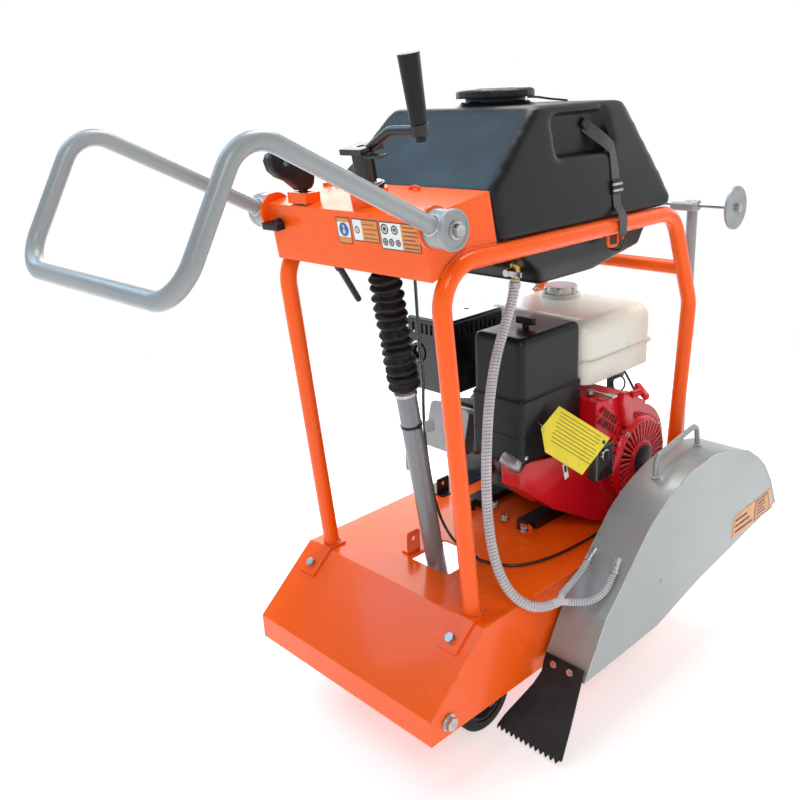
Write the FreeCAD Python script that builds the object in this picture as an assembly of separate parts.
"""Walk-behind concrete saw with a petrol engine, a water tank and a screw depth jack.

Design axes: x to the operator's right, y forward (cutting direction), z up.
x = 0 is the chassis centre plane, y = 0 the rear lip of the chassis, z = 0 the ground.
Every shape is moved by -ROW_ORIGIN when it is saved. All lengths are millimetres.
"""
import FreeCAD
import Part
import math
import os
from FreeCAD import Vector

ROW_ORIGIN = Vector(48, 367, 0)

# Chassis: one folded deck sheet on two side plates
HALF_WIDTH = 260.0
SHEET = 4.0
CHASSIS_BOTTOM = 145.0
LIP_TOP = 199.0
DECK_TOP = 325.0
DECK_REAR = 147.0
CHASSIS_FRONT = 960.0
BOTTOM_RISE = 560.0          # the lower edge climbs forward of here
FRONT_BOTTOM = 238.0
UNDER_DECK = DECK_TOP - SHEET
JACK_SLOT = (-35.0, 78.0, 240.0, 348.0)      # x and y ranges of the openings in the deck
BELT_SLOT = (-240.0, -190.0, 640.0, 850.0)
BEARING_HOLE_R = 24.0        # clearance round the blade spindle in the side plates
FOOT_PLATE = 5.0

# Running gear
HINGE = (45.0, 176.0)        # y, z of the hinge between carriage and chassis
HINGE_PIN_R = 8.0
HINGE_TUBE_R = 20.0
REAR_AXLE_Y = 240.0
FRONT_AXLE_Y = 650.0
WHEEL_R = 75.0
WHEEL_X = 160.0
WHEEL_WIDTH = 46.0
AXLE_R = 10.0
RAIL_X = 100.0
RAIL_THICK = 12.0
RUNNING_GAP = 0.05           # radial clearance of a shaft in its bore
SIDE_GAP = 0.3               # gap between faces that turn past each other

# Tubular hoops
HOOP_X = 211.0
HOOP_R = 16.85
HOOP_WALL = 2.6
HOOP_BEND = 75.0
RAIL_Z = 1006.0

# Console and handle
CONSOLE_X = 209.0
CONSOLE_SHEET = 3.0
PIVOT = (100.0, 1071.0)      # y, z of the handle pivot
PIVOT_PIN_R = 12.0
PIVOT_PIN_END = 258.3        # x where the washer outside each hub starts
HUB_R = 32.0
HANDLE_X = 235.0
HANDLE_R = 14.0
HANDLE_WALL = 2.5
HANDLE_BEND = 60.0
THROTTLE_X = -123.0
THROTTLE_PIN = (101.0, 1078.0)
THROTTLE_PIN_R = 5.0

# Depth jack: its axis leans back going up, by one in six
JACK_X = 25.0
JACK_LEAN = 1.0 / 6.0
JACK_REF = (128.0, 1135.0)   # y, z of a point on the axis
JACK_PIVOT_Z = 1060.0
JACK_FOOT_Z = 85.0
JACK_TUBE_R = 20.5
TUBE_END_Z = 118.0
TUBE_TOP_Z = 918.0
JACK_SCREW_R = 11.0
TRUNNION_R = 9.0
FOOT_PIN_R = 8.0
SCREW_TOP_Z = 1136.0
CRANK_THROW = 141.0          # distance of the crank's grip from the jack axis
CRANK_OFFSET = 8.0
CRANK_PIN_R = 5.0
BELLOWS_TOP_Z = 968.0
BELLOWS_BOTTOM_Z = 732.0
BELLOWS_R = 32.0
BELLOWS_FOLDS = 14

# Engine, crankshaft across the machine
CRANK = (728.0, 468.0)       # y, z
ENGINE_BASE = 343.0
CRANKCASE = (-132.0, 100.0, 640.0, 848.0, 355.0, 560.0)  # this and the next are x, y and z ranges
CLEANER_COVER = (22.0, 152.0, 394.0, 592.0, 650.0, 806.0)
CLEANER_BASE = (19.0, 155.0, 391.0, 594.0, 537.0, 684.0)
FUEL_TANK = (-150.0, 158.0, 606.0, 868.0, 656.0, 796.0)
FUEL_SEAM = (-155.0, 163.0, 603.0, 873.0, 706.0, 710.0)
SWITCH_BOX = (206.0, 232.0, 545.0, 607.0, 472.0, 552.0)
ENGINE_RAILS_X = (-95.0, 70.0)
MUFFLER = (-190.0, -80.0, 432.0, 596.0, 640.0, 792.0)
FUEL_CAP = (-50.0, 790.0)
FUEL_CAP_Z = 804.0
FUEL_CAP_R = 38.0
CRANKSHAFT_R = 16.0
PORT_Z = 722.0               # exhaust outlet
PULLEY_X = -214.0
PULLEY_HALF = 22.0
GROOVE_PITCH = 14.0
PTO_R = 12.5                 # output end of the crankshaft
SWITCH = (572.0, 530.0)
LEVER_AXIS = (158.0, 622.0)  # x, y of the engine speed lever

# Blade drive and guard
SPINDLE = (765.0, 262.0)     # y, z
SPINDLE_R = 17.5
GUARD_IN = 268.0
GUARD_OUT = 370.0
GUARD_SHEET = 3.0
GUARD_PIVOT = (1062.0, 322.0)
GUARD_PIN_R = 8.0
SPINDLE_NOTCH_R = 36.0
ARBOR_R = 12.7

# Water system
HOSE_R = 10.0
VALVE = (131.0, 402.0, 942.0)
BRANCH_R = 7.5
CABLE_R = 3.0
STRAP_Y = (598.0, 628.0)

# Front pointer
POINTER_X = 180.0
POINTER_FOOT = (974.0, 300.0)  # y, z of the fold hinge
POINTER_TOP_Z = 992.0
POINTER_ROD_Z = 1002.0
POST_R = 12.0
FOLD_PIN_R = 6.0
CLAMP_STUD_R = 4.0
ROD_R = 5.0
DISC_X = 282.0
DISC_R = 47.0


def box(x0, x1, y0, y1, z0, z1):
    return Part.makeBox(x1 - x0, y1 - y0, z1 - z0, Vector(x0, y0, z0))


def soft_box(x0, x1, y0, y1, z0, z1, radius):
    """A block with every edge rounded."""
    block = box(x0, x1, y0, y1, z0, z1)
    return block.makeFillet(radius, block.Edges)


def rod(start, end, radius):
    start, end = Vector(*start), Vector(*end)
    return Part.makeCylinder(radius, (end - start).Length, start, end - start)


def rod_x(x0, x1, centre, radius):
    return rod((x0, *centre), (x1, *centre), radius)


def ring_x(x0, x1, centre, outer, inner):
    return rod_x(x0, x1, centre, outer).cut(rod_x(x0 - 1, x1 + 1, centre, inner))


def cone(start, end, radius_start, radius_end):
    start, end = Vector(*start), Vector(*end)
    return Part.makeCone(radius_start, radius_end, (end - start).Length, start, end - start)


def side_profile(points, x0, x1):
    """An outline of (y, z) points, extruded from x0 to x1."""
    face = Part.Face(Part.makePolygon([Vector(x0, y, z) for y, z in [*points, points[0]]]))
    return face.extrude(Vector(x1 - x0, 0, 0))


def plan_profile(points, z0, z1):
    """An outline of (x, y) points, extruded from z0 to z1."""
    face = Part.Face(Part.makePolygon([Vector(x, y, z0) for x, y in [*points, points[0]]]))
    return face.extrude(Vector(0, 0, z1 - z0))


def bolt_head(centre, direction, across=19.0, height=8.0):
    """A hexagonal head that stands on centre and points along direction."""
    radius = across / math.sqrt(3)
    angles = [math.radians(60 * k) for k in range(7)]
    corners = [Vector(radius * math.cos(a), radius * math.sin(a), 0) for a in angles]
    head = Part.Face(Part.makePolygon(corners)).extrude(Vector(0, 0, height))
    turn = FreeCAD.Rotation(Vector(0, 0, 1), Vector(*direction))
    head.Placement = FreeCAD.Placement(Vector(*centre), turn)
    return head


def arc_radius(points, k, bend):
    """Bend radius at point k: the given one, or as large as the two runs allow."""
    if bend:
        return bend
    before, after = points[k] - points[k - 1], points[k + 1] - points[k]
    return 0.45 * min(before.Length, after.Length) / math.tan(before.getAngle(after) / 2)


def route_wire(points, bend=None):
    """Straight runs through the points, joined by tangent arcs."""
    points = [Vector(*p) for p in points]
    edges, start = [], points[0]
    for k in range(1, len(points) - 1):
        into = (points[k] - points[k - 1]).normalize()
        out = (points[k + 1] - points[k]).normalize()
        turn = into.getAngle(out)
        radius = arc_radius(points, k, bend)
        reach = radius * math.tan(turn / 2)
        first, last = points[k] - into * reach, points[k] + out * reach
        towards = (out - into).normalize()
        middle = points[k] + towards * (radius / math.cos(turn / 2) - radius)
        edges += [Part.LineSegment(start, first).toShape(), Part.Arc(first, middle, last).toShape()]
        start = last
    edges.append(Part.LineSegment(start, points[-1]).toShape())
    return Part.Wire(edges)


def sweep(wire, radius):
    """A round bar along a wire."""
    first = wire.Edges[0]
    section = Part.Wire(Part.makeCircle(radius, first.valueAt(first.FirstParameter),
                                        first.tangentAt(first.FirstParameter)))
    return wire.makePipeShell([section], True, False)


def print_route(name, points, radius):
    """Length, bend radii and volume ratio of a hose or cable."""
    wire = route_wire(points)
    radii = [round(arc_radius([Vector(*p) for p in points], k, None)) for k in range(1, len(points) - 1)]
    share = sweep(wire, radius).Volume / (math.pi * radius ** 2 * wire.Length)
    print(f"{name}: length {wire.Length:.0f} mm, volume ratio {share:.4f}, radii {radii}")


def pipe(points, radius, wall=0, bend=None):
    wire = route_wire(points, bend)
    solid = sweep(wire, radius)
    if wall:
        solid = solid.cut(sweep(wire, radius - wall))
    return solid


def fused(*shapes):
    whole = shapes[0].fuse(list(shapes[1:])) if len(shapes) > 1 else shapes[0]
    return whole.removeSplitter()


def group(*shapes):
    return Part.makeCompound(list(shapes))


def mirrored(shape):
    return shape.mirror(Vector(0, 0, 0), Vector(1, 0, 0))


def jack_point(z, x=JACK_X):
    """The point of the jack axis at a height."""
    return (x, JACK_REF[0] + (JACK_REF[1] - z) * JACK_LEAN, z)


def jack_rod(z0, z1, radius):
    return rod(jack_point(z0), jack_point(z1), radius)


# Running gear ------------------------------------------------------------------------------------

def carriage_frame():
    rail = [(20, 160), (20, 196), (38, 206), (64, 200), (150, 132), (640, 118), (672, 100), (672, 55),
            (190, 55), (110, 92), (58, 150), (29, 150)]
    rails = [side_profile(rail, x - RAIL_THICK / 2, x + RAIL_THICK / 2) for x in (-RAIL_X, RAIL_X)]
    hinge_tube = rod_x(-HALF_WIDTH + SHEET + SIDE_GAP, HALF_WIDTH - SHEET - SIDE_GAP, HINGE,
                       HINGE_TUBE_R)
    foot = jack_point(JACK_FOOT_Z)
    inner = RAIL_X - RAIL_THICK / 2
    bars = [box(-inner, inner, foot[1] - 30, foot[1] + 30, 46, 58),
            box(-inner, inner, 500, 530, 80, 110)]
    lugs = [box(JACK_X + s - 5, JACK_X + s + 5, foot[1] - 16, foot[1] + 16, 58, 101) for s in (-19, 19)]
    frame = fused(*rails, hinge_tube, *bars, *lugs)
    frame = frame.cut(rod_x(-300, 300, HINGE, HINGE_PIN_R))
    frame = frame.cut(rod_x(-120, 120, (foot[1], JACK_FOOT_Z), FOOT_PIN_R))
    for y in (REAR_AXLE_Y, FRONT_AXLE_Y):
        frame = frame.cut(rod_x(-120, 120, (y, WHEEL_R), AXLE_R + RUNNING_GAP))
    return frame


def wheel_axles():
    axles = []
    end = WHEEL_X + WHEEL_WIDTH / 2
    for y in (REAR_AXLE_Y, FRONT_AXLE_Y):
        axles.append(rod_x(-end - 14, end + 14, (y, WHEEL_R), AXLE_R))
        for side in (-1, 1):
            inside = sorted((side * (RAIL_X + RAIL_THICK / 2 + 1), side * (end - WHEEL_WIDTH - 1)))
            outside = sorted((side * (end + 1), side * (end + 4)))
            axles.append(ring_x(*inside, (y, WHEEL_R), 16, AXLE_R))
            axles.append(ring_x(*outside, (y, WHEEL_R), 17, AXLE_R))
            axles.append(rod((side * (end + 8), y, WHEEL_R - 15), (side * (end + 8), y, WHEEL_R + 15), 2))
    return fused(*axles)


def hinge_bolts():
    bolts = []
    for side in (-1, 1):
        face = side * (HALF_WIDTH + SIDE_GAP)
        shank = rod((side * (HALF_WIDTH - 40), *HINGE), (face, *HINGE), HINGE_PIN_R)
        washer = rod((face, *HINGE), (face + side * 3, *HINGE), 17)
        bolts.append(fused(shank, washer, bolt_head((face + side * 3, *HINGE), (side, 0, 0), 24, 10)))
    return group(*bolts)


def jack_foot_pin():
    foot = jack_point(JACK_FOOT_Z)
    pin = rod_x(JACK_X - 30, JACK_X + 30, foot[1:], FOOT_PIN_R)
    return fused(pin, rod_x(JACK_X + 24, JACK_X + 29, foot[1:], 13))


def tyre(x, y):
    half = WHEEL_WIDTH / 2
    solid = ring_x(x - half, x + half, (y, WHEEL_R), WHEEL_R, 52)
    rims = [e for e in solid.Edges if e.BoundBox.ZLength > 2 * WHEEL_R - 1 and e.BoundBox.XLength < 1]
    return solid.makeFillet(9, rims)


def rim(x, y):
    half = WHEEL_WIDTH / 2
    centre = (y, WHEEL_R)
    web = rod_x(x - 7, x + 7, centre, 51)
    hub = rod_x(x - half, x + half, centre, 22)
    body = fused(ring_x(x - half + 4, x + half - 4, centre, 52, 46), web, hub)
    return body.cut(rod_x(x - 60, x + 60, centre, AXLE_R + RUNNING_GAP))


# Chassis -----------------------------------------------------------------------------------------

def deck_plate():
    outer = [(0, CHASSIS_BOTTOM), (0, LIP_TOP), (DECK_REAR, DECK_TOP), (CHASSIS_FRONT, DECK_TOP),
             (CHASSIS_FRONT, FRONT_BOTTOM)]
    inner = [(CHASSIS_FRONT - SHEET, FRONT_BOTTOM), (CHASSIS_FRONT - SHEET, UNDER_DECK),
             (DECK_REAR + 1.5, UNDER_DECK), (SHEET, LIP_TOP - 1.8), (SHEET, CHASSIS_BOTTOM + SHEET),
             (30, CHASSIS_BOTTOM + SHEET), (30, CHASSIS_BOTTOM)]
    sheet = side_profile(outer + inner, -HALF_WIDTH, HALF_WIDTH)
    corners = [e for e in sheet.Edges if e.Length > 2 * HALF_WIDTH - 1
               and (abs(e.BoundBox.ZMax - LIP_TOP) < 0.1 or abs(e.BoundBox.ZMax - DECK_TOP) < 0.1)]
    sheet = sheet.makeFillet(3.0, corners)
    slot = box(*JACK_SLOT, DECK_TOP - 25, DECK_TOP + 15)
    slot = slot.makeFillet(12, [e for e in slot.Edges if e.BoundBox.ZLength > 30])
    sheet = sheet.cut(slot)
    return sheet.cut(box(*BELT_SLOT, DECK_TOP - 25, DECK_TOP + 15))


def side_plate():
    outline = [(SHEET, CHASSIS_BOTTOM + SHEET), (SHEET, LIP_TOP - 1.8), (DECK_REAR + 1.5, UNDER_DECK),
               (CHASSIS_FRONT - SHEET, UNDER_DECK), (CHASSIS_FRONT - SHEET, FRONT_BOTTOM),
               (BOTTOM_RISE, CHASSIS_BOTTOM), (30, CHASSIS_BOTTOM), (30, CHASSIS_BOTTOM + SHEET)]
    plate = side_profile(outline, HALF_WIDTH - SHEET, HALF_WIDTH)
    plate = plate.cut(rod_x(200, 300, HINGE, HINGE_PIN_R + RUNNING_GAP))
    return plate.cut(rod_x(200, 300, SPINDLE, BEARING_HOLE_R))


def frame_hoop():
    """Right-hand hoop with the plates that it stands on; the left one mirrors it."""
    route = [(HOOP_X, 170, DECK_TOP + FOOT_PLATE), (HOOP_X, 106, RAIL_Z), (HOOP_X, 835, RAIL_Z),
             (HOOP_X, 926, 790), (HOOP_X, 885, DECK_TOP + FOOT_PLATE)]
    tube = pipe(route, HOOP_R, HOOP_WALL, HOOP_BEND)
    tube = tube.cut(box(180, 250, 100, 960, DECK_TOP - 20, DECK_TOP + FOOT_PLATE))
    slope = (LIP_TOP - DECK_TOP) / -DECK_REAR
    foot_end = DECK_REAR - 52
    top = DECK_TOP + FOOT_PLATE
    foot = side_profile([(190, DECK_TOP), (190, top), (DECK_REAR - 1.7, top),
                         (foot_end - 3.3, DECK_TOP - 52 * slope + 3.8), (foot_end, DECK_TOP - 52 * slope),
                         (DECK_REAR, DECK_TOP)], HOOP_X - 24, HOOP_X + 26)
    front_foot = box(HOOP_X - 44, HOOP_X + 28, 853, 917, DECK_TOP, top)
    return fused(tube, foot.cut(deck_plate()), front_foot)


def front_crossbar():
    return rod((-HOOP_X, 891, 874), (HOOP_X, 891, 874), HOOP_R - 1)


def slope_normal():
    return Vector(0, LIP_TOP - DECK_TOP, DECK_REAR).normalize()


def frame_bolts():
    """Bolts of the hoop feet, on the sloping panel at the rear and on the deck at the front."""
    normal = slope_normal()
    bolts = []
    for x in (-HOOP_X, HOOP_X):
        drop = 34 * (DECK_TOP - LIP_TOP) / DECK_REAR
        on_slope = Vector(x, DECK_REAR - 34, DECK_TOP - drop) + normal * (FOOT_PLATE + 0.2)
        bolts.append(fused(rod(tuple(on_slope), tuple(on_slope + normal * 2), 9),
                           bolt_head(tuple(on_slope + normal * 2), tuple(normal), 17, 7)))
        bolts.append(bolt_head((x + (32 if x < 0 else -32), 885, DECK_TOP + FOOT_PLATE), (0, 0, 1), 13, 6))
    return group(*bolts)


def spindle_bearings():
    """Two flanged bearing housings bolted under the deck."""
    housings = []
    for x0, x1 in ((-186, -146), (206, 246)):
        body = fused(rod_x(x0, x1, SPINDLE, 38),
                     box(x0, x1, SPINDLE[0] - 55, SPINDLE[0] + 55, SPINDLE[1] + 30, UNDER_DECK))
        housings.append(body.cut(rod_x(x0 - 5, x1 + 5, SPINDLE, SPINDLE_R + RUNNING_GAP)))
    return group(*housings)


def deck_lug():
    """Folded lug with a hole beside the jack slot, for a lashing hook."""
    lug = fused(box(-46, -42, 246, 282, DECK_TOP, DECK_TOP + 52),
                box(-62, -46, 246, 282, DECK_TOP, DECK_TOP + 4))
    lug = lug.makeFillet(8, [e for e in lug.Edges
                             if e.BoundBox.ZMin > DECK_TOP + 50 and e.BoundBox.XLength > 3.5])
    return lug.cut(rod((-60, 264, DECK_TOP + 34), (-30, 264, DECK_TOP + 34), 6))


def guard_bracket():
    """Arm on the right side plate that carries the guard's hinge pin, and the guard's rear stop."""
    outline = [(800, 270), (800, 312), (1050, 346), (1082, 336), (1086, 306), (1060, 292), (956, 270)]
    arm = side_profile(outline, HALF_WIDTH, HALF_WIDTH + 5)
    pin = rod_x(HALF_WIDTH + 5, GUARD_IN + 12, GUARD_PIVOT, GUARD_PIN_R)
    cap = rod_x(GUARD_IN + GUARD_SHEET + SIDE_GAP, GUARD_IN + GUARD_SHEET + 5, GUARD_PIVOT, 15)
    return fused(arm, pin, cap).cut(rod_x(200, 300, SPINDLE, BEARING_HOLE_R))


# Console, handle, throttle -----------------------------------------------------------------------

CONSOLE_OUTLINE = [(95, 982), (80, 1088), (128, 1097), (238, 1114), (256, 1026)]


def console_panel():
    outline = side_profile(CONSOLE_OUTLINE, -CONSOLE_X, CONSOLE_X)
    t = CONSOLE_SHEET
    hollow = [(95 + t, 960), (80 + t + 0.5, 1088 - t), (128, 1097 - t), (300, 1124 - t), (300, 960)]
    inside = side_profile(hollow, -CONSOLE_X + t, CONSOLE_X - t)
    shell = outline.cut(inside)
    rings = [ring_x(x0, x1, PIVOT, 36, PIVOT_PIN_R) for x0, x1 in ((-216, -CONSOLE_X), (CONSOLE_X, 216))]
    boss = rod(jack_point(1092), jack_point(1120), 34)
    collar = fused(box(-150, -96, 84, 118, 1092, 1112))
    whole = fused(shell, *rings, boss, collar)
    whole = whole.cut(rod(jack_point(1070), jack_point(1140), 20.5))
    whole = whole.cut(box(-144, -102, 88, 114, 1070, 1120))
    whole = whole.cut(rod_x(-260, 260, PIVOT, PIVOT_PIN_R))
    rear_bend = [(HOOP_X, 170, DECK_TOP + FOOT_PLATE), (HOOP_X, 106, RAIL_Z), (HOOP_X, 835, RAIL_Z)]
    hoop_bar = pipe(rear_bend, HOOP_R, 0, HOOP_BEND)
    return whole.fuse(jack_trunnions()).cut(group(hoop_bar, mirrored(hoop_bar))).removeSplitter()


def handle_pins():
    """Pivot pins fixed in the console, with the washers and bolts that keep the hubs on."""
    pins = []
    for side in (-1, 1):
        end, face = (side * PIVOT_PIN_END, *PIVOT), (side * (PIVOT_PIN_END + 3), *PIVOT)
        pin = rod((side * (CONSOLE_X - 6), *PIVOT), end, PIVOT_PIN_R)
        pins.append(fused(pin, rod(end, face, PIVOT_PIN_R + 3), bolt_head(face, (side, 0, 0), 19, 9)))
    return group(*pins)


def handlebar():
    slope = 0.4933
    hub_side = (PIVOT[0] - 26, PIVOT[1] - 5 + 26 * slope)
    knee, end = (-261, 1250), (-382, 1040)
    route = [(HANDLE_X, *hub_side), (HANDLE_X, *knee), (HANDLE_X, *end),
             (-HANDLE_X, *end), (-HANDLE_X, *knee), (-HANDLE_X, *hub_side)]
    tube = pipe(route, HANDLE_R, 0, HANDLE_BEND)
    bore = pipe(route, HANDLE_R - HANDLE_WALL, 0, HANDLE_BEND)
    whole = tube
    for side in (-1, 1):
        whole = whole.fuse(rod((side * 216.3, *PIVOT), (side * 254, *PIVOT), HUB_R))
        whole = whole.fuse(rod((side * 252, *PIVOT), (side * 258, *PIVOT), HUB_R + 1.5))
    whole = whole.cut(bore.cut(rod_x(-260, 260, PIVOT, HUB_R - 6)))
    return whole.cut(rod_x(-270, 270, PIVOT, PIVOT_PIN_R + RUNNING_GAP)).removeSplitter()


def lock_knob():
    """Wing knob on the console's rear face; its stud clamps the handle's left pin."""
    centre = Vector(-180, 85.1, 1052)
    out = Vector(0, -106, -15).normalize()
    stem = Part.makeCylinder(11, 14, centre + out * 1.5, out)
    wing = Part.makeBox(48, 13, 18, Vector(-24, -6.5, 0))
    wing.Placement = FreeCAD.Placement(centre + out * 9, FreeCAD.Rotation(Vector(0, 0, 1), out))
    return fused(stem, wing)


def throttle_lever():
    """Hand lever that rocks in the console's slot: rounded paddle above, stepped cable arm below."""
    x = THROTTLE_X
    outline = [(96, 1113), (106, 1113), (124, 1152), (113, 1172), (84, 1186), (54, 1187), (27, 1176),
               (31, 1161), (60, 1160), (82, 1142)]
    paddle = side_profile(outline, x - 11, x + 11)
    paddle = paddle.makeFillet(3.5, paddle.Edges)
    neck = box(x - 7, x + 7, 96, 106, 1078, 1120)
    eye = rod_x(x - 10, x + 10, THROTTLE_PIN, 12)
    start, end = Vector(x, 104, 1074), Vector(x, 208, 903)
    step = start + (end - start) * 0.68
    tail = rod(tuple(start), tuple(step), 9).fuse(rod(tuple(start + (end - start) * 0.6), tuple(end), 6.5))
    lever = fused(paddle, neck, eye, tail)
    return lever.cut(rod_x(x - 20, x + 20, THROTTLE_PIN, THROTTLE_PIN_R + RUNNING_GAP))


def throttle_pin():
    ears = [box(x0, x1, 92, 110, 1066, 1091) for x0, x1 in ((-141, -134), (-112, -105))]
    return fused(rod_x(-141, -105, THROTTLE_PIN, THROTTLE_PIN_R), *ears)


# Depth jack --------------------------------------------------------------------------------------

def jack_head():
    """Bearing sleeve that hangs in the console's boss and lets the jack swing a little."""
    sleeve = jack_rod(JACK_PIVOT_Z - 60, 1128, 17)
    sleeve = sleeve.fuse(jack_rod(1122, 1130, 29))
    sleeve = sleeve.fuse(rod_x(JACK_X - 34, JACK_X + 34, jack_point(JACK_PIVOT_Z)[1:], TRUNNION_R))
    outer_guide = jack_rod(BELLOWS_TOP_Z + 12, JACK_PIVOT_Z - 50, 26)
    whole = sleeve.fuse(outer_guide)
    return whole.cut(jack_rod(900, 1160, JACK_SCREW_R + RUNNING_GAP)).removeSplitter()


def jack_trunnions():
    """Two ears under the console's top that carry the jack's swing pins."""
    y, z = jack_point(JACK_PIVOT_Z)[1:]
    ears = []
    under_top = [(80, 1000), (80, 1085), (128, 1093.9), (238, 1110.9), (240, 1000)]
    for x0, x1 in ((JACK_X - 36, JACK_X - 28), (JACK_X + 28, JACK_X + 36)):
        ear = box(x0, x1, y - 16, y + 16, z - 16, 1098)
        ear = ear.common(side_profile(under_top, -60, 90))
        ears.append(ear.cut(rod_x(x0 - 5, x1 + 5, (y, z), TRUNNION_R + RUNNING_GAP)))
    return group(*ears)


def jack_screw():
    return jack_rod(700, SCREW_TOP_Z, JACK_SCREW_R)


def crank_placed(shape):
    """Moves a shape made round the z axis onto the jack axis, with its origin on top of the screw."""
    lean = FreeCAD.Rotation(Vector(0, 0, 1), Vector(0, -JACK_LEAN, 1))
    shape.Placement = FreeCAD.Placement(Vector(*jack_point(SCREW_TOP_Z)), lean)
    return shape


def crank_arm():
    """Hub with a square top plate, the cranked arm with the grip's eye, and the hub's locking flap."""
    hub = rod((0, 0, 0), (0, 0, 52), 19)
    plate = box(-27, 27, -27, 27, 49, 59)
    x, y = CRANK_THROW, CRANK_OFFSET
    arm = pipe([(18, 0, 54), (74, 4, 84), (x, y, 84)], 7.5, 0, 22)
    eye = rod((x, y, 76), (x, y, 93), 15)
    flap = box(24, 62, -20, 0, 43, 47)
    flap_pin = rod((31, -10, 40), (31, -10, 50), 4)
    tongue = box(20, 38, -16, -4, 46, 52)
    whole = fused(hub, plate, arm, eye, flap, flap_pin, tongue)
    whole = whole.cut(rod((x, y, 60), (x, y, 110), CRANK_PIN_R + RUNNING_GAP))
    return crank_placed(whole.cut(rod((0, 0, 45), (0, 0, 70), 8)))


def crank_grip():
    """Turning handle on its pin, which passes through the arm's eye to a nut."""
    x, y = CRANK_THROW, CRANK_OFFSET
    pin = rod((x, y, 66), (x, y, 200), CRANK_PIN_R)
    grip = cone((x, y, 93 + SIDE_GAP), (x, y, 201), 14, 18)
    return crank_placed(fused(pin, grip, bolt_head((x, y, 66), (0, 0, 1), 15, 9.5)))


def jack_tube():
    """Sliding tube with the screw's nut at its top and, on a thinner neck, the foot eye."""
    tube = jack_rod(TUBE_END_Z, TUBE_TOP_Z, JACK_TUBE_R)
    tube = tube.cut(jack_rod(TUBE_END_Z + 15, TUBE_TOP_Z - 36, JACK_TUBE_R - 4))
    tube = tube.cut(jack_rod(TUBE_TOP_Z - 50, TUBE_TOP_Z + 10, JACK_SCREW_R + 0.4))
    foot = jack_point(JACK_FOOT_Z)
    neck = jack_rod(JACK_FOOT_Z, TUBE_END_Z + 5, 12)
    eye = rod_x(JACK_X - 13, JACK_X + 13, foot[1:], 18)
    y = jack_point(560)[1]
    tab = box(JACK_X - 36, JACK_X - 16, y - 2, y + 2, 545, 580)
    whole = fused(tube, neck, eye, tab.cut(jack_rod(500, 620, JACK_TUBE_R)))
    return whole.cut(rod_x(-20, 80, foot[1:], 10.5))


def jack_bellows():
    """Rubber bellows: a stack of rounded folds on the jack axis."""
    top, bottom = Vector(*jack_point(BELLOWS_TOP_Z)), Vector(*jack_point(BELLOWS_BOTTOM_Z))
    length = (top - bottom).Length
    pitch = length / BELLOWS_FOLDS
    inner = JACK_TUBE_R + 1.5
    profile = [Vector(inner, 0, 0)]
    for k in range(BELLOWS_FOLDS):
        profile += [Vector(BELLOWS_R - 7, 0, k * pitch), Vector(BELLOWS_R, 0, (k + 0.5) * pitch)]
    profile += [Vector(BELLOWS_R - 7, 0, length), Vector(inner, 0, length), Vector(inner, 0, 0)]
    face = Part.Face(Part.makePolygon(profile))
    solid = face.revolve(Vector(0, 0, 0), Vector(0, 0, 1), 360)
    solid.Placement = FreeCAD.Placement(bottom, FreeCAD.Rotation(Vector(0, 0, 1), top - bottom))
    return solid


# Water -------------------------------------------------------------------------------------------

TANK_SEAT = RAIL_Z + HOOP_R + 0.3      # the tank rests on the rails here
TANK_TOP = 1244.0
TANK_WALL = 5.0
TANK_UPPER = [(216, 262, 814, TANK_SEAT), (214, 258, 820, 1045), (207, 246, 770, 1112),
              (186, 392, 672, TANK_TOP)]
TANK_BELLY = [(166, 430, 610, 912), (178, 410, 760, 945), (190, 290, 800, TANK_SEAT)]
FILLER = (0.0, 500.0)                 # x, y
FILLER_R = 62.0
RECESS = [(440, 1150), (436, 1214), (450, 1227), (600, 1230), (618, 1170), (600, 1150)]


def loft(sections):
    """A solid through rectangles given as (x half-width, y low, y high, z)."""
    corners = ((-1, 0), (1, 0), (1, 1), (-1, 1), (-1, 0))
    wires = [Part.makePolygon([Vector(side * half, (y0, y1)[far], z) for side, far in corners])
             for half, y0, y1, z in sections]
    return Part.makeLoft(wires, True, True)


def inset(sections, wall, low, high):
    """The same rectangles one wall further in, with new end heights."""
    heights = [low, *[z for _, _, _, z in sections[1:-1]], high]
    return [(half - wall, y0 + wall, y1 - wall, z) for (half, y0, y1, _), z in zip(sections, heights)]


def water_tank():
    """Hollow moulded tank: wide upper part on the rails, belly between them, hand recess on each side."""
    outer = loft(TANK_UPPER).fuse(loft(TANK_BELLY))
    pocket = side_profile(RECESS, 172, 260)
    outer = outer.cut(pocket).cut(mirrored(pocket))
    outer = outer.fuse(rod((*FILLER, TANK_TOP - 10), (*FILLER, TANK_TOP + 14), FILLER_R + 5))
    w = TANK_WALL
    hollow = loft(inset(TANK_UPPER, w, TANK_SEAT + w, TANK_TOP - w))
    hollow = hollow.fuse(loft(inset(TANK_BELLY, w, TANK_BELLY[0][3] + w, TANK_SEAT + w)))
    walls = side_profile([(430, 1144), (430, 1234), (624, 1236), (624, 1144)], 167, 260)
    hollow = hollow.cut(walls).cut(mirrored(walls))
    neck = rod((*FILLER, TANK_TOP - 20), (*FILLER, TANK_TOP + 20), FILLER_R)
    return outer.cut(hollow.fuse(neck)).removeSplitter()


def tank_lid():
    x, y = FILLER
    cap = Part.makeCylinder(FILLER_R + 16, 18, Vector(x, y, TANK_TOP + 14 + SIDE_GAP))
    rim_edges = [e for e in cap.Edges if e.BoundBox.ZMin > TANK_TOP + 30 and len(e.Vertexes) == 1]
    cap = cap.makeFillet(4, rim_edges)
    plug = Part.makeCylinder(FILLER_R - 2, 20, Vector(x, y, TANK_TOP - 2))
    return fused(cap, plug)


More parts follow.
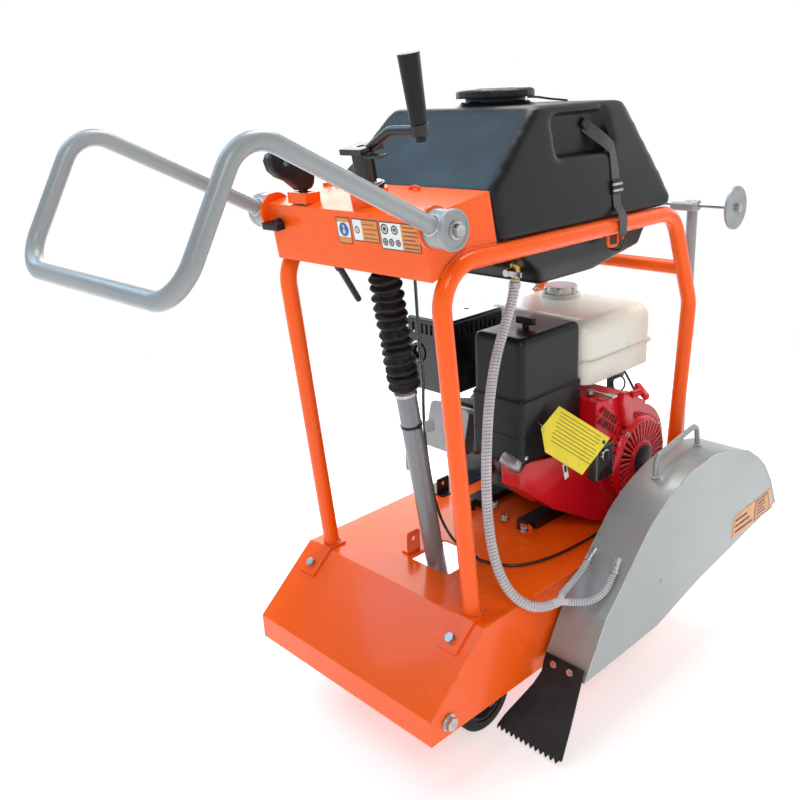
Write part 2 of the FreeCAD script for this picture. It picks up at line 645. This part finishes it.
def strap_hooks():
    """Bent-rod hook loops welded under the rails, one each side, for the tank strap."""
    z = RAIL_Z - HOOP_R
    loop = pipe([(HOOP_X - 6, 600, z + 2), (HOOP_X - 6, 600, z - 24), (HOOP_X - 6, 634, z - 24),
                 (HOOP_X - 6, 634, z + 2)], 3.5, 0, 9)
    tray_tab = box(HOOP_X - 22, HOOP_X + 4, 640, 646, z - 14, z + 4)
    hook = fused(loop, tray_tab).cut(rod((HOOP_X, 500, RAIL_Z), (HOOP_X, 700, RAIL_Z), HOOP_R))
    return group(hook, mirrored(hook))


# Right-hand strap: left and right edge of its inner face (x, y, z), from the recess down to the hook
STRAP_EDGES = [((172.4, 547.5, 1190.4), (172.4, 566.5, 1213.6)),
               ((201.6, 599.5, 1148.4), (197.9, 618.5, 1171.6)),
               ((207.4, STRAP_Y[0], 1112.0), (207.4, STRAP_Y[1], 1112.0)),
               ((214.6, STRAP_Y[0], 1047.3), (214.6, STRAP_Y[1], 1047.3)),
               ((230.0, STRAP_Y[0], 1025.7), (230.0, STRAP_Y[1], 1025.7)),
               ((230.0, STRAP_Y[0], 985.0), (230.0, STRAP_Y[1], 985.0))]
STRAP_THICK = 2.0


def tank_strap():
    """Webbing strap from each recess down outside the rail, with a wire hook in the hook loop."""
    wedges = []
    for (a_left, a_right), (b_left, b_right) in zip(STRAP_EDGES, STRAP_EDGES[1:]):
        for corners in ((a_left, a_right, b_right), (a_left, b_right, b_left)):
            outline = Part.makePolygon([Vector(*c) for c in (*corners, corners[0])])
            wedges.append(Part.Face(outline).extrude(Vector(STRAP_THICK, 0, 0)))
    band = fused(*wedges)
    middle = sum(STRAP_Y) / 2
    route = [(x, middle, z) for x, z in ((231, 996), (231, 958.5), (198, 958.5), (198, 976))]
    hook = pipe(route, 2.5, 0, 8)
    hook = hook.cut(band)
    return group(band, mirrored(band), hook, mirrored(hook))


def water_valve():
    """Brass tap on the rear face of the belly, with a stem boss and a hose barb that points down."""
    x, y, z = VALVE
    body = fused(rod((x, y, z - 6), (x, y, z + 20), 11), rod((x, y, z), (x, y - 24, z), 8),
                 rod((x, y, z - 16), (x, y, z), 8))
    return body.cut(loft(TANK_BELLY)).cut(water_hose())


def valve_lever():
    x, y, z = VALVE
    face = y - 24 - SIDE_GAP
    return fused(rod((x, face, z), (x, face - 6, z), 7), box(x, x + 36, face - 5, face - 2, z - 5, z + 5))


WATER_ROUTE = [(131, 400, 926), (131, 396, 895), (138, 362, 845), (150, 318, 790), (165, 280, 715),
               (180, 254, 632), (195, 234, 545), (214, 222, 460), (236, 220, 400), (258, 232, 356),
               (276, 258, 328), (287, 288, 315), (291, 310, 312)]
BRANCH_ROUTES = {
    "upper": [(289, 352, 319), (287, 378, 324), (287, 402, 333), (288, 420, 342), (289, 434, 353)],
    "lower": [(303, 350, 305), (317, 369, 301), (334, 388, 303), (345, 410, 314), (347, 428, 331),
              (347, 439, 347)],
}


def water_hose():
    return pipe(WATER_ROUTE, HOSE_R)


def branch_hose(side):
    return pipe(BRANCH_ROUTES[side], BRANCH_R)


def hose_tee():
    """Y piece between the supply hose and the two branches."""
    centre = (295, 334, 311)
    legs = [rod(centre, BRANCH_ROUTES[side][0], 7) for side in BRANCH_ROUTES]
    whole = fused(rod(WATER_ROUTE[-1], centre, 9), *legs)
    return whole.cut(group(water_hose(), branch_hose("upper"), branch_hose("lower")))


CABLE_ROUTE = [(62, 196, 1000), (60, 201, 940), (56, 207, 850), (48, 224, 760), (28, 239, 680),
               (14, 255, 600), (10, 269, 520), (12, 284, 440), (22, 299, 388), (46, 312, 350),
               (74, 322, 333), (100, 328, 329), (130, 338, 329), (158, 354, 329), (178, 382, 329),
               (192, 420, 329), (202, 470, 329), (207, 530, 329), (208, 600, 329.5), (205, 680, 331),
               (196, 760, 336), (180, 830, 350), (160, 880, 385), (136, 904, 440), (112, 908, 510),
               (90, 898, 570), (72, 882, 612)]


def throttle_cable():
    return pipe(CABLE_ROUTE, CABLE_R)


# Engine ------------------------------------------------------------------------------------------

HEAD_LEAN = math.radians(15)


def along_cylinder(distance, across=0.0):
    """y, z of a point on the cylinder's centre line, measured from the crankshaft."""
    y = CRANK[0] - distance * math.cos(HEAD_LEAN) + across * math.sin(HEAD_LEAN)
    return y, CRANK[1] + distance * math.sin(HEAD_LEAN) + across * math.cos(HEAD_LEAN)


def cylinder_block(x0, x1, near, far, half):
    return side_profile([along_cylinder(near, -half), along_cylinder(far, -half),
                         along_cylinder(far, half), along_cylinder(near, half)], x0, x1)


def engine_rails():
    rails = [box(x - 22, x + 22, 520, 880, DECK_TOP, ENGINE_BASE) for x in ENGINE_RAILS_X]
    screws = []
    for x in ENGINE_RAILS_X:
        block = box(x - 14, x + 14, 494, 506, DECK_TOP, DECK_TOP + 26)
        screws += [block, rod((x, 484, DECK_TOP + 12), (x, 520, DECK_TOP + 12), 4)]
    return group(*[fused(*screws[k:k + 2]) for k in (0, 2)], *rails)


def engine_crankcase():
    x0, x1, y0, y1 = CRANKCASE[:4]
    case = box(*CRANKCASE)
    case = case.makeFillet(22, [e for e in case.Edges if e.BoundBox.XLength > 200])
    base = box(x0, x1, y0 - 30, y1 + 12, ENGINE_BASE, ENGINE_BASE + 14)
    bearing = rod_x(-150, -130, CRANK, 46)
    bracket = box(40, 76, y1 - 2, y1 + 32, 596, 606)
    stay = box(50, 66, y1 - 2, y1 + 4, 540, 600)
    case = fused(case, base, bearing, bracket, stay)
    return case.cut(rod_x(-180, 120, CRANK, CRANKSHAFT_R + RUNNING_GAP))


def engine_cylinder():
    """Finned cylinder and head between the crankcase and the rocker cover."""
    core = cylinder_block(-136, -40, 70, 262, 46)
    fins = [cylinder_block(-160, -20, 96 + 13 * k, 101 + 13 * k, 60) for k in range(12)]
    return fused(core, *fins).cut(box(-170, 110, 640, 860, 343, 562))


def rocker_cover():
    cover = cylinder_block(-172, -52, 262, 290, 54)
    return cover.makeFillet(14, [e for e in cover.Edges if e.Length < 40])


FAN_R = 123.0
SLOT_R = 112.0
FAN_SIDE = [(700, 338), (600, 350), (510, 398), (436, 462), (436, 520), (597, 524), (597, 632), (676, 640),
            (770, 591)]
FAN_PLAN = [(62, 436), (112, 436), (162, 540), (205, 622), (205, 770), (104, 770), (104, 606), (62, 600)]


def fan_solid(thinner):
    """The fan housing's outer form: a drum round the flywheel and a tapering duct to the cylinder."""
    centre_y, centre_z = 600, 480
    side = [(y - math.copysign(thinner, y - centre_y), z - math.copysign(thinner, z - centre_z))
            for y, z in FAN_SIDE]
    plan = [(x - thinner if x > 104 else x - 4 * min(thinner, 1), y) for x, y in FAN_PLAN]
    duct = side_profile(side, 50, 215).common(plan_profile(plan, 300, 700))
    return rod_x(104 - 4 * min(thinner, 1), 205 - thinner, CRANK, FAN_R - thinner).fuse(duct)


def fan_cover():
    """Pressed fan housing, open towards the crankcase and in the middle of its outer face."""
    shell = fan_solid(0).cut(fan_solid(3)).cut(rod_x(190, 220, CRANK, 92))
    shell = shell.cut(box(90, 220, 560, 870, 300, ENGINE_BASE))
    slots = [rod_x(195, 215, (CRANK[0] + SLOT_R * math.cos(a), CRANK[1] + SLOT_R * math.sin(a)), 4)
             for a in [math.radians(125 + 9 * k) for k in range(6)]]
    return shell.cut(group(*slots)).removeSplitter()


PULL = Vector(0.42, 0.9, 0.12).normalize()     # direction of the starter cord
RECOIL_R = 102.0
CORD_EYE = Vector(208, 668, 628)               # where the cord leaves the housing


def recoil_starter():
    """Starter housing with radial cooling slots and the guide that the cord leaves through."""
    body = rod_x(205, 226, CRANK, RECOIL_R).cut(rod_x(200, 223, CRANK, RECOIL_R - 4))
    body = body.fuse(rod_x(222, 230, CRANK, 34))
    slot = side_profile([(CRANK[0] + 46, CRANK[1] - 5), (CRANK[0] + 90, CRANK[1] - 5),
                         (CRANK[0] + 90, CRANK[1] + 5), (CRANK[0] + 46, CRANK[1] + 5)], 200, 240)
    slots = []
    for k in range(14):
        turned = slot.copy()
        turned.rotate(Vector(0, *CRANK), Vector(1, 0, 0), 360 / 14 * k)
        slots.append(turned)
    horn = side_profile([(672, 560), (700, 560), (684, 641), (652, 641)], 205, 219)
    horn = horn.cut(rod_x(200, 240, CRANK, RECOIL_R - 3))
    horn = horn.cut(box(200, 206, 600, 760, 500, 700).common(fan_solid(0)))
    body = body.cut(group(*slots)).fuse(horn)
    return body.cut(Part.makeCylinder(3.5, 80, CORD_EYE - PULL * 30, PULL)).removeSplitter()


def recoil_grip():
    """Starter grip on the end of its cord."""
    cord = Part.makeCylinder(2, 44, CORD_EYE, PULL)
    stem = Part.makeCylinder(8, 20, CORD_EYE + PULL * 24, PULL)
    bar = Part.makeBox(46, 16, 14, Vector(-23, -8, 0))
    bar = bar.makeFillet(5, bar.Edges)
    bar.Placement = FreeCAD.Placement(CORD_EYE + PULL * 42, FreeCAD.Rotation(Vector(0, 0, 1), PULL))
    return fused(cord, stem, bar)


def flywheel():
    """Flywheel with fan blades, on the crankshaft that carries the drive pulley at its other end."""
    disc = ring_x(118, 150, CRANK, 84, CRANKSHAFT_R)
    blades = []
    for k in range(12):
        blade = box(150, 172, CRANK[0] - 2, CRANK[0] + 2, CRANK[1] + 40, CRANK[1] + 82)
        blade.rotate(Vector(0, *CRANK), Vector(1, 0, 0), 30 * k)
        blades.append(blade)
    return fused(disc, *blades)


def crankshaft():
    shoulder = PULLEY_X + PULLEY_HALF
    return fused(rod_x(shoulder, 150, CRANK, CRANKSHAFT_R), rod_x(-240, shoulder + 5, CRANK, PTO_R))


def pulley(centre, outer, bore):
    """Three-groove V pulley on the belt line."""
    wheel = rod_x(PULLEY_X - PULLEY_HALF, PULLEY_X + PULLEY_HALF, centre, outer)
    for k in (-1, 0, 1):
        x = PULLEY_X + GROOVE_PITCH * k
        groove = Part.makePolygon([Vector(x - 5, outer + 1, 0), Vector(x - 3, outer - 9, 0),
                                   Vector(x + 3, outer - 9, 0), Vector(x + 5, outer + 1, 0),
                                   Vector(x - 5, outer + 1, 0)])
        ring = Part.Face(groove).revolve(Vector(0, 0, 0), Vector(1, 0, 0), 360)
        ring.translate(Vector(0, *centre))
        wheel = wheel.cut(ring)
    return wheel.cut(rod_x(PULLEY_X - 40, PULLEY_X + 40, centre, bore))


ENGINE_PULLEY_R = 45.0
SPINDLE_PULLEY_R = 52.0
BELT_DEPTH = 8.0


def drive_belts():
    """Three V belts; each is the outer loop round both pulleys less the inner one."""
    low, high = Vector(0, *SPINDLE), Vector(0, *CRANK)
    across = (high - low).normalize().cross(Vector(1, 0, 0))

    def loop(x, width, shrink):
        r_low, r_high = SPINDLE_PULLEY_R - shrink, ENGINE_PULLEY_R - shrink
        corners = [low + across * r_low, high + across * r_high,
                   high - across * r_high, low - across * r_low]
        corners = [c + Vector(x - width / 2, 0, 0) for c in corners]
        web = Part.Face(Part.makePolygon([*corners, corners[0]])).extrude(Vector(width, 0, 0))
        return fused(web, rod_x(x - width / 2, x + width / 2, SPINDLE, r_low),
                     rod_x(x - width / 2, x + width / 2, CRANK, r_high))

    lines = [PULLEY_X + GROOVE_PITCH * k for k in (-1, 0, 1)]
    return group(*[loop(x, 5.0, 1.0).cut(loop(x, 7.0, BELT_DEPTH)) for x in lines])


def belt_guard():
    """Sheet cover over the belts on the left of the engine, open below where they pass through the deck."""
    def outline(inset_by, x0, x1, low):
        body = side_profile([(642 + inset_by, low), (852 - inset_by, low), (800 - inset_by, 468),
                             (656 + inset_by, 468)], x0, x1)
        return body.fuse(rod_x(x0, x1, CRANK, 72 - inset_by))
    shell = outline(0, -250, -180, DECK_TOP).cut(outline(2, -248, -170, DECK_TOP - 5))
    tabs = [box(-250, -182, 500, 644, DECK_TOP, DECK_TOP + 3),
            box(-203, -199, 500, 540, DECK_TOP, DECK_TOP + 42)]
    hole = rod((-215, 520, DECK_TOP + 28), (-190, 520, DECK_TOP + 28), 5)
    return fused(shell, *tabs).cut(hole).removeSplitter()


def air_cleaner():
    """Air cleaner cover: drafted box with rounded edges that steps out to a wider base."""
    return fused(soft_box(*CLEANER_COVER, 14), soft_box(*CLEANER_BASE, 10))


def air_cleaner_knob():
    x, y, z = 88, 486, CLEANER_COVER[5]
    stem = rod((x, y, z), (x, y, z + 12), 7)
    return fused(stem, box(x - 22, x + 22, y - 5, y + 5, z + 6, z + 20))


def carburetor():
    """Carburettor between the head and the air cleaner, with its bowl."""
    body = box(-24, 18, 470, 560, 560, 640).cut(box(-160, 0, 400, 700, 343, 640))
    bowl = rod((9, 515, 532), (9, 515, 562), 8)
    return fused(body, bowl)


def muffler():
    x0, x1, y0, y1, z0, z1 = MUFFLER
    body = soft_box(x0, x1, y0, y1, z0, z1, 14)
    port = ring_x(0, 14, (0, 0), 22, 16)
    forward = FreeCAD.Rotation(Vector(1, 0, 0), Vector(0, 1, 0))
    port.Placement = FreeCAD.Placement(Vector(x0 + 24, y0 - 14, PORT_Z), forward)
    return body.fuse(port.cut(body)).removeSplitter()


def muffler_shield():
    """Louvred guard over the muffler's rear, top and right side."""
    x0, x1, y0, y1, z0, z1 = MUFFLER
    outer = soft_box(x0 - 10, x1 + 10, y0 - 12, y1 + 60, z0 - 60, z1 + 10, 8)
    inner = soft_box(x0 - 8, x1 + 8, y0 - 10, y1 + 58, z0 - 58, z1 + 8, 6)
    shell = outer.cut(inner).cut(box(-300, 100, y1, 900, 400, 900))
    shell = shell.cut(box(-300, 100, 300, 900, 400, z0 - 4))
    shell = shell.cut(box(x0 - 20, x0 - 5, 300, 900, 400, z1 - 30))
    louvres = [box(x1 - 8, x1 + 20, y0 + 14 + 15 * k, y0 + 21 + 15 * k, z1 - 26, z1 - 2) for k in range(9)]
    louvres += [box(x0 + 8 + 14 * k, x0 + 15 + 14 * k, y0 - 20, y0 - 4, z1 - 26, z1 - 2) for k in range(7)]
    louvres.append(rod((x0 + 24, 400, PORT_Z), (x0 + 24, y0 - 5, PORT_Z), 25))
    louvres.append(rod((x0 + 62, y0 + 110, z1), (x0 + 62, y0 + 110, z1 + 20), 6))
    stays = [box(x, x + 8, y0 - 10.5, y0 + 0.5, 660, 668) for x in (x0 + 60, x1 - 16)]
    return fused(shell.cut(group(*louvres)), *stays).cut(muffler())


def fuel_tank():
    """Pressed tank in two halves with a seam flange, on two stays above the crankcase."""
    body = box(*FUEL_TANK)
    body = body.makeFillet(34, [e for e in body.Edges if e.BoundBox.ZMax > 780 or e.BoundBox.ZLength > 100])
    flange = box(*FUEL_SEAM)
    flange = flange.makeFillet(30, [e for e in flange.Edges if e.BoundBox.ZLength > 3.5])
    x, y = FUEL_CAP
    neck = rod((x, y, 790), (x, y, FUEL_CAP_Z), 30)
    stays = [box(x - 10, x + 10, 700, 740, 558, 657) for x in (-90, 60)]
    return fused(body, flange, neck, *stays).cut(box(*CRANKCASE[:5], CRANKCASE[5] + 0.01))


def fuel_cap():
    x, y = FUEL_CAP
    cap = Part.makeCylinder(FUEL_CAP_R, 18, Vector(x, y, FUEL_CAP_Z + SIDE_GAP))
    ribs = []
    for k in range(6):
        rim_x = x + (FUEL_CAP_R - 1) * math.cos(math.radians(60 * k))
        rim_y = y + (FUEL_CAP_R - 1) * math.sin(math.radians(60 * k))
        ribs.append(rod((rim_x, rim_y, FUEL_CAP_Z + 1), (rim_x, rim_y, FUEL_CAP_Z + 15), 6))
    return fused(cap, *ribs)


def switch_box():
    """Ignition switch housing on a bracket beside the fan cover."""
    body = soft_box(*SWITCH_BOX, 5)
    arm = box(150, 212, 578, 604, 498, 532).cut(fan_solid(0))
    arm = max(arm.Solids, key=lambda solid: solid.BoundBox.XMax)
    return fused(body, arm).cut(rod_x(228, 240, SWITCH, 12))


def engine_switch():
    knob = rod_x(228 + SIDE_GAP, 238, SWITCH, 10)
    y, z = SWITCH
    return knob.fuse(box(236, 241, y - 3, y + 3, z - 10, z + 10)).removeSplitter()


def control_lever():
    """Engine speed lever above the fan cover."""
    x, y = LEVER_AXIS
    z = 637
    return fused(rod((x, y, z), (x, y, z + 8), 9), box(x - 4, x + 46, y - 3, y + 3, z + 5, z + 8),
                 box(x + 40, x + 62, y - 8, y + 8, z + 5, z + 8))


# Blade drive and guard ---------------------------------------------------------------------------

ARBOR_SHOULDER = 290.0
FLANGE_R = 55.0


def blade_spindle():
    shaft = rod_x(-238, ARBOR_SHOULDER, SPINDLE, SPINDLE_R)
    arbor = rod_x(ARBOR_SHOULDER, 345, SPINDLE, ARBOR_R)
    return shaft.fuse(arbor).removeSplitter()


def blade_flanges():
    """Inner and outer clamping flanges and the arbor nut; no blade is fitted."""
    inner = ring_x(ARBOR_SHOULDER, ARBOR_SHOULDER + 12, SPINDLE, FLANGE_R, ARBOR_R)
    outer = ring_x(ARBOR_SHOULDER + 12, ARBOR_SHOULDER + 24, SPINDLE, FLANGE_R, ARBOR_R)
    nut = bolt_head((ARBOR_SHOULDER + 24, *SPINDLE), (1, 0, 0), 38, 18)
    return group(inner, outer, nut.cut(rod_x(280, 360, SPINDLE, ARBOR_R)))


def guard_face(x, grow):
    """Side outline of the guard, moved outwards by grow."""
    g = grow
    low_rear, knee, crown_rear = (315 - g, 165), (384 - g, 277 + 0.4 * g), (536 - 0.7 * g, 424 + 0.7 * g)
    crown, crown_front = (780, 498 + g), (1045 + 0.7 * g, 387 + 0.7 * g)
    nose_top, nose_low = (1088 + g, 330 + 0.3 * g), (1124 + g, 258)
    under = [(997, 239), (762, 206), (580, 167)]

    def at(p):
        return Vector(x, *p)
    edges = [Part.LineSegment(at(low_rear), at(knee)).toShape(),
             Part.LineSegment(at(knee), at(crown_rear)).toShape(),
             Part.Arc(at(crown_rear), at(crown), at(crown_front)).toShape()]
    chain = [crown_front, nose_top, nose_low, *under, low_rear]
    edges += [Part.LineSegment(at(a), at(b)).toShape() for a, b in zip(chain, chain[1:])]
    return Part.Face(Part.Wire(edges))


def blade_guard():
    """Welded sheet cover, open below, with a notch for the spindle and the rod that lifts it."""
    width = GUARD_OUT - GUARD_IN
    t = GUARD_SHEET
    shell = guard_face(GUARD_IN, 0).extrude(Vector(width, 0, 0))
    cavity = guard_face(GUARD_IN + t, -t).extrude(Vector(width - 2 * t, 0, 0))
    mouth = side_profile([(320, 150), (327, 175), (581, 176), (762, 214), (997, 246), (1119, 264),
                          (1119, 200), (900, 150)], GUARD_IN + t, GUARD_OUT - t)
    shell = shell.cut(cavity).cut(mouth)
    notch = rod_x(200, GUARD_IN + t + 1, SPINDLE, SPINDLE_NOTCH_R)
    notch = notch.fuse(side_profile([(SPINDLE[0] - SPINDLE_NOTCH_R, SPINDLE[1]),
                                     (SPINDLE[0] + SPINDLE_NOTCH_R, SPINDLE[1]), (838, 190), (735, 160)],
                                    200, GUARD_IN + t + 1))
    shell = shell.cut(notch)
    x = (GUARD_IN + GUARD_OUT) / 2 - 6
    handle = pipe([(x, 642, 474), (x, 642, 524), (x, 806, 550), (x, 816, 490)], 6, 0, 18)
    handle = handle.cut(guard_face(GUARD_IN, -1).extrude(Vector(width, 0, 0)))
    shell = shell.fuse(handle)
    shell = shell.cut(rod_x(200, GUARD_IN + t + 1, GUARD_PIVOT, GUARD_PIN_R + RUNNING_GAP))
    return shell.removeSplitter()


def guard_nipples():
    """Brass water nipples in the guard's rear plate."""
    nipples = []
    for side in ("upper", "lower"):
        end, before = Vector(*BRANCH_ROUTES[side][-1]), Vector(*BRANCH_ROUTES[side][-2])
        way = (end - before).normalize()
        nipple = Part.makeCylinder(7, 34, end, way).fuse(Part.makeCylinder(10, 5, end + way * 2, way))
        nipples.append(nipple.cut(guard_face(GUARD_IN, 0).extrude(Vector(120, 0, 0))))
    return group(*[n.Solids[0] for n in nipples])


def mud_flap():
    """Rubber flap behind the blade slot, toothed along its lower edge."""
    top, bottom = Vector(0, 322, 190), Vector(0, 252, 4)
    down = bottom - top
    left = [(274, 0.0), (274, 0.2), (262, 0.36), (236, 0.6), (212, 0.82), (201, 0.95)]
    teeth = []
    for k in range(13):
        x = 201 + 12.6 * k
        teeth += [(x, 1.0), (x + 6.3, 0.95)]
    right = [(364, 0.95), (366, 0.6), (366, 0.0)]
    points = [Vector(x, top.y + down.y * s, top.z + down.z * s) for x, s in left + teeth + right]
    face = Part.Face(Part.makePolygon([*points, points[0]]))
    return face.extrude(Vector(0, down.z, -down.y).normalize() * 4).cut(flap_rivets())


def flap_rivets():
    rivets = [rod((x, 325, 174), (x, 307, 181), 7) for x in (300, 340)]
    return group(*rivets).cut(guard_face(GUARD_IN, 0).extrude(Vector(120, 0, 0)))


# Front pointer -----------------------------------------------------------------------------------

def pointer_bracket():
    """Two ears on the chassis front with the pin that the pointer arm folds about."""
    ears = [box(POINTER_X + s - 3, POINTER_X + s + 3, CHASSIS_FRONT, POINTER_FOOT[0] + 16, 280, 320)
            for s in (-18, 18)]
    return fused(*ears, rod_x(POINTER_X - 26, POINTER_X + 26, POINTER_FOOT, FOLD_PIN_R))


def pointer_arm():
    """Post with a cross tube at each end: for the fold pin below, for the sliding rod above."""
    y = POINTER_FOOT[0]
    post = rod((POINTER_X, y, POINTER_FOOT[1] + 8), (POINTER_X, y, POINTER_TOP_Z), POST_R)
    post = post.cut(rod((POINTER_X, y, POINTER_FOOT[1] + 20), (POINTER_X, y, POINTER_TOP_Z - 14),
                        POST_R - 2))
    low = rod_x(POINTER_X - 14, POINTER_X + 14, POINTER_FOOT, 13)
    high = rod_x(POINTER_X - 16, POINTER_X + 16, (y, POINTER_ROD_Z), 11)
    whole = fused(post, low, high)
    whole = whole.cut(rod_x(100, 260, POINTER_FOOT, FOLD_PIN_R + RUNNING_GAP))
    whole = whole.cut(rod_x(100, 260, (y, POINTER_ROD_Z), ROD_R + RUNNING_GAP))
    return whole.cut(rod((POINTER_X, y - 30, POINTER_ROD_Z), (POINTER_X, y - 6, POINTER_ROD_Z),
                         CLAMP_STUD_R + RUNNING_GAP))


def pointer_knob():
    """Wing knob that clamps the sliding rod."""
    y = POINTER_FOOT[0]
    stud = rod((POINTER_X, y - 24, POINTER_ROD_Z), (POINTER_X, y - 6.5, POINTER_ROD_Z), CLAMP_STUD_R)
    wing = soft_box(POINTER_X - 34, POINTER_X + 26, y - 44, y - 22,
                    POINTER_ROD_Z - 8, POINTER_ROD_Z + 10, 5)
    return stud.fuse(wing).removeSplitter()


def pointer_rod():
    y = POINTER_FOOT[0]
    rod_body = rod_x(100, DISC_X + 14, (y, POINTER_ROD_Z), ROD_R)
    collar = ring_x(DISC_X - 12, DISC_X - 3, (y, POINTER_ROD_Z), 9, ROD_R)
    nut = bolt_head((DISC_X + 4, y, POINTER_ROD_Z), (1, 0, 0), 17, 8)
    return fused(rod_body, collar, nut)


def pointer_disc():
    centre = (POINTER_FOOT[0], POINTER_ROD_Z)
    return ring_x(DISC_X - 2, DISC_X + 3, centre, DISC_R, ROD_R + RUNNING_GAP)


# Assembly ----------------------------------------------------------------------------------------

def wheels():
    parts = {}
    for name, x, y in (("wheel_rear_left", -WHEEL_X, REAR_AXLE_Y),
                       ("wheel_rear_right", WHEEL_X, REAR_AXLE_Y),
                       ("wheel_front_left", -WHEEL_X, FRONT_AXLE_Y),
                       ("wheel_front_right", WHEEL_X, FRONT_AXLE_Y)):
        parts[name + "_tyre"] = tyre(x, y)
        parts[name + "_rim"] = rim(x, y)
    return parts


SINGLE_PIECES = (carriage_frame, deck_plate, spindle_bearings, console_panel, handlebar, lock_knob,
                 throttle_lever, jack_head, jack_screw, crank_arm, crank_grip, jack_tube, jack_bellows,
                 water_tank, tank_lid, tank_strap, valve_lever, water_hose, hose_tee, throttle_cable,
                 engine_rails, rocker_cover, fan_cover, recoil_starter, recoil_grip, drive_belts,
                 belt_guard, fuel_tank, fuel_cap, switch_box, engine_switch, control_lever, blade_guard,
                 mud_flap, pointer_rod, pointer_disc)


def assembly():
    """Every node by name. Small pieces that are fixed together share a node as separate solids."""
    parts = wheels()
    for maker in SINGLE_PIECES:
        parts[maker.__name__] = maker()
    hoop, plate = frame_hoop(), side_plate()
    parts["frame_hoop_right"] = hoop
    parts["frame_hoop_left"] = mirrored(hoop)
    parts["side_plates"] = group(plate, mirrored(plate))
    crossbar = front_crossbar().cut(group(hoop, mirrored(hoop)))
    parts["frame_brackets"] = group(crossbar, strap_hooks(), deck_lug(), guard_bracket(), pointer_bracket())
    parts["carriage_pins"] = group(wheel_axles(), hinge_bolts(), jack_foot_pin())
    parts["chassis_fasteners"] = group(frame_bolts(), handle_pins(), throttle_pin())
    parts["water_fittings"] = water_valve()
    parts["branch_hoses"] = group(branch_hose("upper"), branch_hose("lower"))
    parts["engine_block"] = group(engine_crankcase(), engine_cylinder(), carburetor())
    parts["crankshaft"] = group(crankshaft(), flywheel())
    parts["air_cleaner"] = group(air_cleaner(), air_cleaner_knob())
    parts["muffler"] = group(muffler(), muffler_shield())
    parts["engine_pulley"] = pulley(CRANK, ENGINE_PULLEY_R, PTO_R)
    parts["spindle_pulley"] = pulley(SPINDLE, SPINDLE_PULLEY_R, SPINDLE_R)
    parts["blade_spindle"] = group(blade_spindle(), blade_flanges())
    parts["guard_fittings"] = group(guard_nipples(), flap_rivets())
    parts["pointer_arm"] = group(pointer_arm(), pointer_knob())
    return parts


os.makedirs("parts", exist_ok=True)
for name, shape in assembly().items():
    shape.translate(-ROW_ORIGIN)
    shape.exportStep(f"parts/{name}.step")

print_route("water_hose", WATER_ROUTE, HOSE_R)
print_route("throttle_cable", CABLE_ROUTE, CABLE_R)
for side, points in BRANCH_ROUTES.items():
    print_route(f"branch_hose {side}", points, BRANCH_R)
